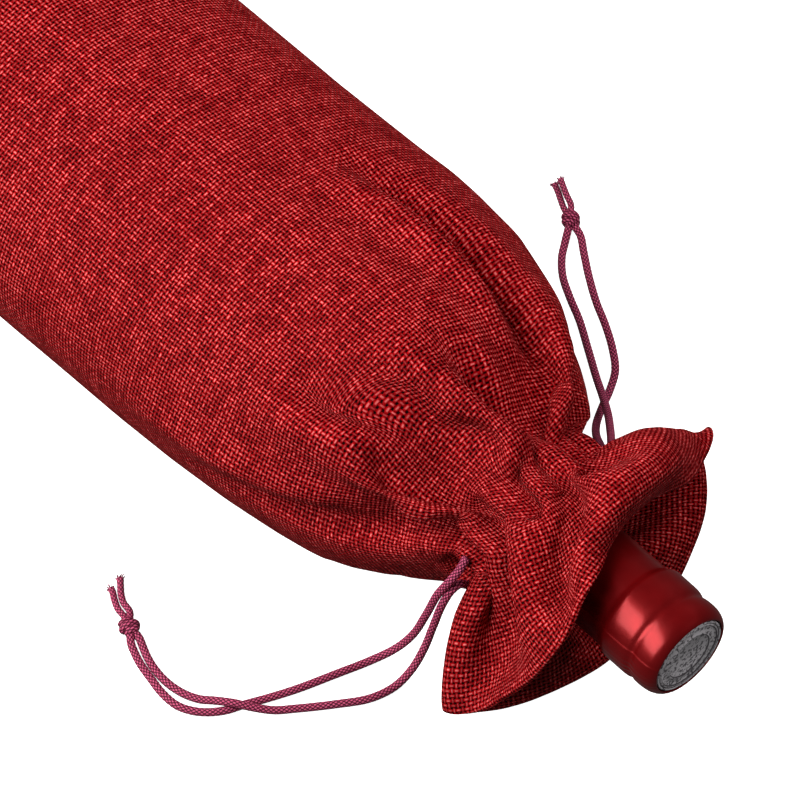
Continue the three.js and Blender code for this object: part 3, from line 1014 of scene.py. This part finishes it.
def keep_outside(points, held):
    """Moves points out of the filling and the bottle, except in the held rows."""
    x = points[..., 0]
    left, right, top, low = (np.interp(x, FILLING[:, 0], FILLING[:, k]) for k in (1, 2, 3, 4))
    wide = np.where(points[..., 1] > 0, left, right)
    middle = (top + low) / 2
    tall = (top - low) / 2
    inside = np.sqrt((points[..., 1] / wide) ** 2 + ((points[..., 2] - middle) / tall) ** 2) + 1e-9
    grow = np.where(inside < 1, 1 / inside, 1.0)
    grow[held] = 1
    points[..., 1] *= grow
    points[..., 2] = middle + (points[..., 2] - middle) * grow
    clear_bottle(points, BOTTLE_GAP, held)


def clear_bottle(points, gap, held):
    """Moves points out to this far from the bottle's surface."""
    x = points[..., 0]
    reach = np.interp(x, BOTTLE[:, 0], BOTTLE[:, 1], left=0, right=0) + gap
    up = points[..., 2] - AXIS_HEIGHT
    far = np.sqrt(points[..., 1] ** 2 + up ** 2) + 1e-9
    near = (far < reach) & (x > BOTTLE_START) & (x < BOTTLE_END)
    grow = np.where(near, reach / far, 1.0)
    grow[held] = 1
    points[..., 1] *= grow
    points[..., 2] = AXIS_HEIGHT + up * grow


def draw_in(steps=2400, step=0.0012):
    """Pulls the open bag's neck in and lets the cloth settle. Returns its grid of points."""
    grid = open_bag()
    speed = np.zeros_like(grid)
    rows = np.arange(RUNS) * STEP_V
    held = [row for row in range(RUNS) if abs(rows[row] - CASING) < HELD_HALF]
    free = np.ones((RUNS, 1, 1))
    free[held] = 0
    free[0] = 0
    neck = drawn_neck()
    start = grid[held].copy()
    goal = np.stack([
        neck + np.array([CASING_PLACE + rows[row] - CASING, 0.0, AXIS_HEIGHT]) for row in held
    ])
    rim_start = grid[-1].copy()
    rim_goal = ruffle_rim()
    seam_start = grid[0].copy()
    seam_goal = grid[0].copy()
    seam_goal[:, 0] = SEAM_PLACE - SEAM_BOW * (np.abs(grid[0, :, 1]) / SEAM_HALF) ** 2
    weight = CLOTH_WEIGHT * STEP_U ** 2
    hem_share = np.clip((rows - STIFF_FROM) / STIFF_WITHIN, 0, 1)
    stiffness = CLOTH_STIFFNESS * (1 + HEM_STIFFER * hem_share)
    bend_give = (weight * STEP_U ** 2 / stiffness / step ** 2)[:, None, None]
    turn = 2 * math.pi * np.arange(ACROSS) / ACROSS
    shorter = np.where(np.cos(turn) > 0, LEFT_SHORTER, RIGHT_SHORTER)
    taken_in = LENGTH_SHARE - shorter * np.cos(turn) ** 2
    in_body = (rows[:-1] < CASING - NEAR_CASING)[:, None]
    long_steps = STEP_V * np.where(in_body, taken_in[None, :], 1.0)[..., None]
    slant_steps = np.sqrt(STEP_U ** 2 + long_steps ** 2)
    gathering = int(steps * 0.4)
    for count in range(steps):
        speed[..., 2] -= PULL_DOWN * step
        speed *= 1 - (DRAG if count < steps * 0.75 else LAST_DRAG) * step
        new = grid + speed * step
        part = smooth_step(min((count + 1) / gathering, 1.0))
        new[held] = start + (goal - start) * part
        new[0] = seam_start + (seam_goal - seam_start) * part
        new[-1] += RIM_HOLD * (rim_start + (rim_goal - rim_start) * part - new[-1])
        pull_together(new[:, 0::2], new[:, 1::2], free, free, STEP_U, STRETCH_GIVE)
        shifted = np.roll(new[:, 0::2], -1, axis=1)
        pull_together(new[:, 1::2], shifted, free, free, STEP_U, STRETCH_GIVE)
        new[:, 0::2] = np.roll(shifted, 1, axis=1)
        for odd in (0, 1):
            far = new[odd + 1::2]
            near = new[odd:-1:2]
            pull_together(
                near, far, free[odd:-1:2], free[odd + 1::2], long_steps[odd::2], STRETCH_GIVE,
            )
        for odd in (0, 1):
            for shift in (1, -1):
                far = new[odd + 1::2]
                near = new[odd:-1:2]
                slanted = np.roll(far, -shift, axis=1)
                pull_together(
                    near, slanted, free[odd:-1:2], free[odd + 1::2], slant_steps[odd::2], SHEAR_GIVE,
                )
                far[:] = np.roll(slanted, shift, axis=1)
        for third in range(3):
            shifted = np.roll(new, -third, axis=1)
            straighten(shifted[:, 0::3], shifted[:, 1::3], shifted[:, 2::3], free, free, free, bend_give)
            new = np.roll(shifted, third, axis=1)
        for third in range(3):
            stop = third + 3 * ((RUNS - third) // 3)
            first, middle, last = (slice(third + k, stop, 3) for k in range(3))
            straighten(
                new[first], new[middle], new[last],
                free[first], free[middle], free[last], bend_give[middle],
            )
        keep_outside(new, held)
        low = new[..., 2] < TABLE_LIFT
        low[held] = False
        new[..., 2][low] = TABLE_LIFT
        for k in (0, 1):
            new[..., k][low] = grid[..., k][low] + TABLE_SLIP * (new[..., k][low] - grid[..., k][low])
        speed = (new - grid) / step
        grid = new
    return grid


def outward(grid):
    """The direction out of the bag at each point of the grid."""
    round_way = np.roll(grid, -1, axis=1) - np.roll(grid, 1, axis=1)
    long_way = np.gradient(grid, axis=0)
    normal = np.cross(round_way, long_way)
    normal /= np.linalg.norm(normal, axis=2, keepdims=True) + 1e-12
    for _ in range(2):
        normal = normal + 0.5 * (np.roll(normal, 1, axis=1) + np.roll(normal, -1, axis=1))
        normal /= np.linalg.norm(normal, axis=2, keepdims=True) + 1e-12
    return normal


# How far the cloth may reach along LOWER_RIGHT: (along, reach). RIGHT_SOFT is how gently it is held back.
# LEFT_SWELL moves the cloth that faces the other way outward: (along, move).
LOWER_RIGHT = np.array([0.0, -0.889, -0.458])
RIGHT_REACH = np.array([
    (0.0, 0.0462), (0.085, 0.0445), (0.127, 0.0427), (0.149, 0.041), (0.169, 0.0386), (0.188, 0.0354),
    (0.202, 0.0324), (0.215, 0.028), (0.225, 0.0228), (0.232, 0.0176), (0.24, 0.0124), (0.246, 0.013),
    (0.25, 0.04), (0.4, 0.06),
])
RIGHT_SOFT = 0.0080
LEFT_SWELL = np.array([
    (0.0, 0.0), (0.1, 0.0), (0.135, 0.001), (0.16, 0.0024), (0.185, 0.0026), (0.205, 0.0018),
    (0.222, 0.0), (0.232, -0.001), (0.244, 0.0), (0.4, 0.0),
])
# How far the cloth's inner face stays from the bottle, over its upper half.
CLEAR_OF_GLASS = 0.0016
# How far the cloth's middle stays from it below.
UNDER_GLASS = 0.0015
# Round the bottle's base: how far along the cloth may lie, by its distance from the axis.
BASE_CORNER = np.array([
    (0.0, -0.0026), (0.031, -0.0026), (0.035, -0.0014), (0.0375, 0.001), (0.0398, 0.005),
])
BASE_DEPTH = 0.0080
# Rows of the cloth next to the bottom seam, and rows that share out its length there.
SEAM_ROWS = 6
END_ROWS = 36
# Folds and dents: flat places (u, v) along each, its half width, and how far it moves the cloth outward.
FOLDS = [
    ([(0.053, 0.2), (0.0485, 0.232), (0.047, 0.258), (0.047, 0.274), (0.047, 0.298)], 0.0048, -0.0098),
    ([(0.062, 0.205), (0.0585, 0.226), (0.0565, 0.246), (0.0545, 0.266), (0.053, 0.28)], 0.005, 0.0044),
    ([(0.04, 0.222), (0.0385, 0.246), (0.0375, 0.266), (0.037, 0.284)], 0.0045, 0.0024),
    ([(0.08, 0.262), (0.0775, 0.274), (0.075, 0.288), (0.069, 0.301)], 0.006, -0.0092),
    ([(0.069, 0.262), (0.067, 0.276), (0.065, 0.29)], 0.004, 0.0022),
    ([(0.0905, 0.256), (0.0885, 0.272), (0.0855, 0.29)], 0.0048, 0.004),
    ([(0.114, 0.252), (0.111, 0.261), (0.106, 0.269), (0.1, 0.277)], 0.0072, -0.0108),
    ([(0.101, 0.25), (0.097, 0.262), (0.093, 0.274)], 0.005, 0.0032),
    ([(0.127, 0.242), (0.123, 0.26), (0.1165, 0.275), (0.108, 0.288)], 0.0055, 0.0052),
    ([(0.099, 0.288), (0.093, 0.297), (0.088, 0.305)], 0.0042, -0.0072),
    ([(0.118, 0.28), (0.123, 0.29), (0.121, 0.3)], 0.005, -0.0066),
    ([(0.162, 0.226), (0.158, 0.25), (0.155, 0.272), (0.154, 0.294)], 0.0048, -0.005),
    ([(0.153, 0.2), (0.151, 0.222), (0.148, 0.246), (0.1455, 0.268)], 0.006, 0.0036),
    ([(0.135, 0.262), (0.136, 0.278), (0.134, 0.294)], 0.0055, -0.0034),
]

# What moves in the ruffle: the middle (u) and half width, where it starts and ends (v), and the move.
RUFFLE_MOVES = [
    (0.322, 0.017, 0.332, 0.362, (-0.0030, 0.0, 0.0074)),
    (0.163, 0.034, 0.326, 0.345, (-0.0016, -0.0018, 0.0)),
]


def lay_end(grid):
    """Lays the cloth smoothly and evenly from the bottom seam round the end of the filling."""
    laid = grid.copy()
    share = np.linspace(0, 1, SEAM_ROWS + 1)[:, None, None]
    laid[:SEAM_ROWS + 1] = grid[0] + (grid[SEAM_ROWS] - grid[0]) * share
    keep = np.clip((np.arange(END_ROWS + 1) - SEAM_ROWS) / SEAM_ROWS, 0, 1)[1:-1, None, None]
    for _ in range(24):
        end = laid[:END_ROWS + 1]
        beside = np.roll(end, 1, axis=1) + np.roll(end, -1, axis=1)
        smooth = (beside[1:-1] + end[:-2] + end[2:]) / 4
        laid[1:END_ROWS] = smooth + (end[1:-1] - smooth) * keep
    for column in range(ACROSS):
        laid[:END_ROWS + 1, column] = even_points(laid[:END_ROWS + 1, column], END_ROWS + 1)
    return laid


def press_folds(grid):
    """Moves the cloth in along its folds and dents and out along the ridges beside them."""
    u = np.arange(ACROSS)[None, :] * STEP_U
    v = np.arange(RUNS)[:, None] * STEP_V
    move = np.zeros((RUNS, ACROSS))
    for places, half_width, depth in FOLDS:
        share = np.zeros((RUNS, ACROSS))
        line = even_points(fine_line(places), 60)
        strength = np.sin(math.pi * np.linspace(0.06, 0.85, len(line))) ** 0.8
        for (place_u, place_v), full in zip(line, strength):
            near = np.hypot(u - place_u, v - place_v)
            share = np.maximum(share, full * np.exp(-(near / half_width) ** 2))
        move += depth * share
    return grid + outward(grid) * move[..., None]


def shape_sides(grid):
    """Tucks the lower right side in and lets the upper left side swell, each to its reach."""
    reach = grid @ LOWER_RIGHT
    limit = np.interp(grid[..., 0], RIGHT_REACH[:, 0], RIGHT_REACH[:, 1]) - RIGHT_SOFT
    over = np.maximum(reach - limit, 0)
    kept = RIGHT_SOFT * (1 - np.exp(-over / RIGHT_SOFT))
    shaped = grid.copy()
    shaped[..., 1] += (over - kept) / -LOWER_RIGHT[1]
    facing = np.clip(-(outward(grid) @ LOWER_RIGHT), 0, 1) ** 3
    swell = np.interp(grid[..., 0], LEFT_SWELL[:, 0], LEFT_SWELL[:, 1]) * facing
    return shaped - LOWER_RIGHT * swell[..., None]


def clear_inside(shaped):
    """Keeps the cloth off the glass all round, and off the edge of the bottle's base."""
    half_thick = np.array([cloth_thickness(row * STEP_V) / 2 for row in range(RUNS)])[:, None]
    above = shaped[..., 2] > AXIS_HEIGHT
    clear_bottle(shaped, np.where(above, half_thick + CLEAR_OF_GLASS, UNDER_GLASS), [])
    far = np.hypot(shaped[..., 1], shaped[..., 2] - AXIS_HEIGHT)
    furthest = np.interp(far, BASE_CORNER[:, 0], BASE_CORNER[:, 1], right=1.0)
    over_base = (shaped[..., 0] > furthest) & (shaped[..., 0] < BASE_DEPTH)
    shaped[..., 0] = np.where(over_base, furthest, shaped[..., 0])
    return shaped


def open_ruffle(grid):
    """Lifts the ruffle's left end and draws its right side outward."""
    u = np.arange(ACROSS)[None, :] * STEP_U
    v = np.arange(RUNS)[:, None] * STEP_V
    for middle, half_width, first_v, last_v, move in RUFFLE_MOVES:
        beside = np.minimum(np.abs(u - middle), ROUND - np.abs(u - middle))
        part = np.clip((v - first_v) / (last_v - first_v), 0, 1)
        share = np.exp(-(beside / half_width) ** 2) * smooth_step(part)
        grid = grid + share[..., None] * np.array(move)
    return grid


def cloth_thickness(v):
    """One layer up to the casing, two in the ruffle, and room for the cord in the channel between."""
    hem_share = min(1.0, max(0.0, (v - HEM_FROM) / HEM_WITHIN))
    double = CLOTH_THICK + (HEM_THICK - CLOTH_THICK) * hem_share
    channel = max(0.0, math.cos(math.pi / 2 * min(1.0, abs(v - CASING) / CASING_HALF)))
    return double + (CHANNEL_THICK - HEM_THICK) * channel


def keep_corners(piece, wide):
    """Keeps a panel's long edges square, so that it meets its neighbour with no groove."""
    mesh = piece.data
    ends = (0, wide - 1)
    crease = mesh.attributes.new("crease_edge", "FLOAT", "EDGE")
    for edge in mesh.edges:
        first, second = edge.vertices
        if first % wide in ends and first % wide == second % wide:
            edge.use_edge_sharp = True
            crease.data[edge.index].value = 1.0


def panel(name, grid, normal, first_column, material):
    """One half of the cloth as a closed sheet with a rolled rim."""
    columns = [(first_column + k) % ACROSS for k in range(ACROSS // 2 + 1)]
    mid = grid[:, columns]
    out = normal[:, columns]
    wide = len(columns)
    loops = []
    flats = []
    flat_u = (first_column + np.arange(wide)) * STEP_U
    for row in range(RUNS):
        thick = cloth_thickness(row * STEP_V)
        loops.append((mid[row] + out[row] * (thick / 2), row * STEP_V))
    ahead = mid[-1] - mid[-2]
    ahead /= np.linalg.norm(ahead, axis=1, keepdims=True)
    for angle in (30, 65, 90, 115, 150):
        swing = math.radians(angle)
        reach = HEM_THICK / 2
        loops.append((
            mid[-1] + ahead * reach * math.sin(swing) + out[-1] * (reach * math.cos(swing)),
            LENGTH + reach * swing,
        ))
    for row in range(RUNS - 1, -1, -1):
        thick = cloth_thickness(row * STEP_V)
        loops.append((mid[row] - out[row] * (thick / 2), row * STEP_V))
    points = np.vstack([loop for loop, _ in loops])
    flats = np.vstack([np.stack([flat_u, np.full(wide, v)], axis=1) for _, v in loops])
    faces = []
    count = len(loops)
    for i in range(count - 1):
        for k in range(wide - 1):
            a = i * wide + k
            faces.append((a, a + 1, a + 1 + wide, a + wide))
    half = count // 2
    for i in range(half):
        j = count - 1 - i
        for k in (0, wide - 1):
            low, high = i * wide + k, j * wide + k
            if i + 1 == j:
                continue
            if i + 1 == j - 1:
                quad = (low, low + wide, high)
            else:
                quad = (low, low + wide, high - wide, high)
            faces.append(quad if k == 0 else tuple(reversed(quad)))
    last = (count - 1) * wide
    for k in range(wide - 1):
        faces.append((k, last + k, last + k + 1, k + 1))
    points[:, 0] += BASE_X
    piece = new_object(name, points, faces, flats)
    piece.data.materials.append(material)
    keep_corners(piece, wide)
    subdivide(piece, 1)
    return piece


class Surface:
    """Places on the settled cloth, by their flat place: u round the bag and v from the bottom seam."""

    def __init__(self, grid, normal):
        self.grid = grid
        self.normal = normal

    def at(self, u, v, rise=0.0):
        """The point this far outside the cloth's outer face, and the direction outward."""
        column = (u / STEP_U) % ACROSS
        row = min(max(v / STEP_V, 0.0), RUNS - 1.001)
        c0, r0 = int(column), int(row)
        fc, fr = column - c0, row - r0
        c1 = (c0 + 1) % ACROSS

        def blend(field):
            low = field[r0, c0] * (1 - fc) + field[r0, c1] * fc
            high = field[r0 + 1, c0] * (1 - fc) + field[r0 + 1, c1] * fc
            return low * (1 - fr) + high * fr

        out = blend(self.normal)
        out = out / np.linalg.norm(out)
        point = blend(self.grid) + out * (cloth_thickness(v) / 2 + rise)
        return point + np.array([BASE_X, 0.0, 0.0]), out


# Each kind of stitch: its length, the space from one to the next, and its radius.
SEAM_STITCH = (0.0024, 0.0033, 0.00022)
CASING_STITCH = (0.0021, 0.003, 0.0002)
# Where a seam starts above the bottom seam, and how far it runs.
SIDE_SEAM = (0.010, 0.296)
RIM_SEAM = (0.330, 0.034)
LOOP_APART = 0.0019
LOOP_RADIUS = 0.00105
EXIT_GAP = 0.018


def stitch_row(name, surface, path, length, space, radius, rise, material):
    """A row of separate stitches. path(part) gives the flat place (u, v) for part from 0 to 1."""
    samples = np.array([surface.at(*path(part), rise)[0] for part in np.linspace(0, 1, 900)])
    run = run_along(samples)
    count = int(run[-1] / space)
    parts = []
    for i in range(count):
        middle = (i + 0.5) * run[-1] / count
        reach = np.linspace(-0.5, 0.5, 7) * length
        line = points_at(middle + reach, run, samples)
        sizes = radius * np.sqrt(np.maximum(0.04, 1 - (reach / (0.54 * length)) ** 2))
        parts.append(tube_mesh(line, reach - reach[0], sizes, 8))
    piece = new_object(name, *joined(parts))
    piece.data.materials.append(material)
    return piece


def cord_loop(name, surface, side, material):
    """A drawcord's hidden run round the neck, inside the casing from one exit round to the other."""
    offset = -side * LOOP_APART
    first = 0.0 if side > 0 else ROUND / 2
    points = []
    count = 110
    for i in range(count + 1):
        u = first + EXIT_GAP + (ROUND - 2 * EXIT_GAP) * i / count
        point, out = surface.at(u, CASING + offset)
        points.append(point - out * (cloth_thickness(CASING) / 2))
    line, run = smooth_line(points, 0.0012)
    piece = new_object(name, *tube_mesh(line, run, LOOP_RADIUS, 10))
    piece.data.materials.append(material)
    return piece


def add_sewing(surface, looks):
    """The seams' and casing's stitches and the drawcords' hidden loops."""
    half = ROUND / 2

    def upward(u, start, run):
        return lambda part: (u, start + part * run)

    def all_round(v):
        return lambda part: (ROUND * part, v)

    def across(part):
        return half * (0.02 + 0.96 * part), 0.004

    rows = {
        "left_side_seam": (upward(0.0, *SIDE_SEAM), SEAM_STITCH, -0.00035),
        "right_side_seam": (upward(half, *SIDE_SEAM), SEAM_STITCH, -0.00035),
        "left_rim_seam": (upward(0.0, *RIM_SEAM), SEAM_STITCH, -0.0007),
        "right_rim_seam": (upward(half, *RIM_SEAM), SEAM_STITCH, -0.0007),
        "bottom_seam": (across, SEAM_STITCH, -0.0001),
        "lower_casing_stitch": (all_round(CASING - CASING_HALF), CASING_STITCH, -0.00008),
        "upper_casing_stitch": (all_round(CASING + CASING_HALF), CASING_STITCH, -0.00008),
    }
    for node, (path, stitch, rise) in rows.items():
        piece = stitch_row(node + "_stitches", surface, path, *stitch, rise, looks["thread"])
        stand_for(piece, "bag", "thread", node)
    for node, side in (("left_cord_loop", 1), ("right_cord_loop", -1)):
        piece = cord_loop(node + "_hidden", surface, side, looks["cord"])
        stand_for(piece, "bag", "cord", node)


def add_bag(looks):
    grid = shape_sides(press_folds(lay_end(draw_in())))
    grid = open_ruffle(clear_inside(grid))
    normal = outward(grid)
    for name, first in (("front_panel", 0), ("back_panel", ACROSS // 2)):
        piece = panel(name + "_cloth", grid, normal, first, looks["cloth"])
        stand_for(piece, "bag", "cloth", name)
    add_sewing(Surface(grid, normal), looks)


# ---- the floor, the light and the object put together --------------------------------------
def add_floor():
    """A pale table lit so brightly that it shows no edge."""
    look = Look("table")
    look.set(Base_Color=(0.9, 0.9, 0.9, 1), Roughness=0.6)
    look.set(Emission_Color=(1, 1, 1, 1), Emission_Strength=1.0)
    reach = 6.0
    corners = [(-reach, -reach, 0), (reach, -reach, 0), (reach, reach, 0), (-reach, reach, 0)]
    floor = new_object("table", corners, [(0, 1, 2, 3)], smooth=False)
    floor.data.materials.append(look.material)
    floor.visible_diffuse = False
    floor.visible_glossy = False


def glass_look():
    look = Look("glass")
    look.set(Base_Color=linear(96, 130, 84), Roughness=0.03, IOR=1.5, Transmission_Weight=1.0)
    return look.material


DISC_RINGS = (0.0114, 0.0106, 0.0076)


def capsule_look():
    """Red shrink foil: satin, a little metallic, faintly streaked along the neck."""
    look = Look("capsule")
    place = look.object_place()
    streak = look.noise(place, 900.0, 3.0, 0.6)
    cloud = look.noise(place, 120.0, 2.0)
    look.set(Base_Color=look.mix(look.ease(cloud, 0.3, 0.7), linear(130, 9, 13), linear(144, 13, 17)))
    look.set(Metallic=0.66, Roughness=look.ease(streak, 0.3, 0.7, 0.28, 0.33))
    look.set(Coat_Weight=0.15, Coat_Roughness=0.15)
    look.bump(streak, 0.00001)
    return look.material


def disc_look():
    """Matt grey foil with rings and small dents pressed into it, and painted shade darkening what is
    pressed.
    """
    look = Look("capsule_disc")
    place = look.object_place()
    parts = look.node("ShaderNodeSeparateXYZ")
    look.feed(parts.inputs[0], place)
    up = look.minus(parts.outputs[2], AXIS_HEIGHT)
    squares = look.plus(look.math("POWER", parts.outputs[1], 2), look.math("POWER", up, 2))
    radius = look.math("SQRT", squares)
    pressing_and_shade = look.ease(look.noise(place, 900.0, 2.0, 0.7), 0.50, 0.60)
    for ring in DISC_RINGS:
        away = look.math("ABSOLUTE", look.minus(radius, ring))
        pressing_and_shade = look.math("MAXIMUM", pressing_and_shade, look.ease(away, 0.00024, 0.00008))
    # Painted shade: the pressed rings and dents are coloured dark grey.
    look.set(Base_Color=look.mix(pressing_and_shade, linear(224, 218, 222), linear(96, 90, 94)))
    look.set(Roughness=0.42)
    look.bump(pressing_and_shade, -0.00008)
    return look.material


def make_looks():
    return {
        "cloth": cloth_look(),
        "cord": braid_look(),
        "thread": thread_look(),
        "glass": glass_look(),
        "wine": plain_look("wine", linear(46, 3, 8), linear(60, 5, 11), 40, 0.12, 0.00001),
        "cork": plain_look("cork", linear(150, 104, 62), linear(196, 152, 104), 700, 0.85, 0.0002),
        "capsule": capsule_look(),
        "capsule_disc": disc_look(),
        "label": plain_look("label", linear(226, 216, 192), linear(238, 231, 212), 500, 0.8, 0.00003),
    }


def main():
    bpy.context.scene.view_settings.view_transform = "Standard"
    add_camera()
    add_world(0.09)
    add_floor()
    add_lamp("left_box", -24, 36, 1.3, 1.6, 1.0, 24)
    add_lamp("top_box", -20, 66, 1.5, 0.7, 0.7, 13, mirrored=False)
    add_lamp("back_box", 190, 38, 1.6, 0.8, 0.6, 12, mirrored=False)
    add_lamp("right_box", 128, 38, 1.3, 0.6, 0.6, 3.6, mirrored=False)
    looks = make_looks()
    add_cords(looks["cord"])
    add_bottle(looks)
    add_bag(looks)


main()
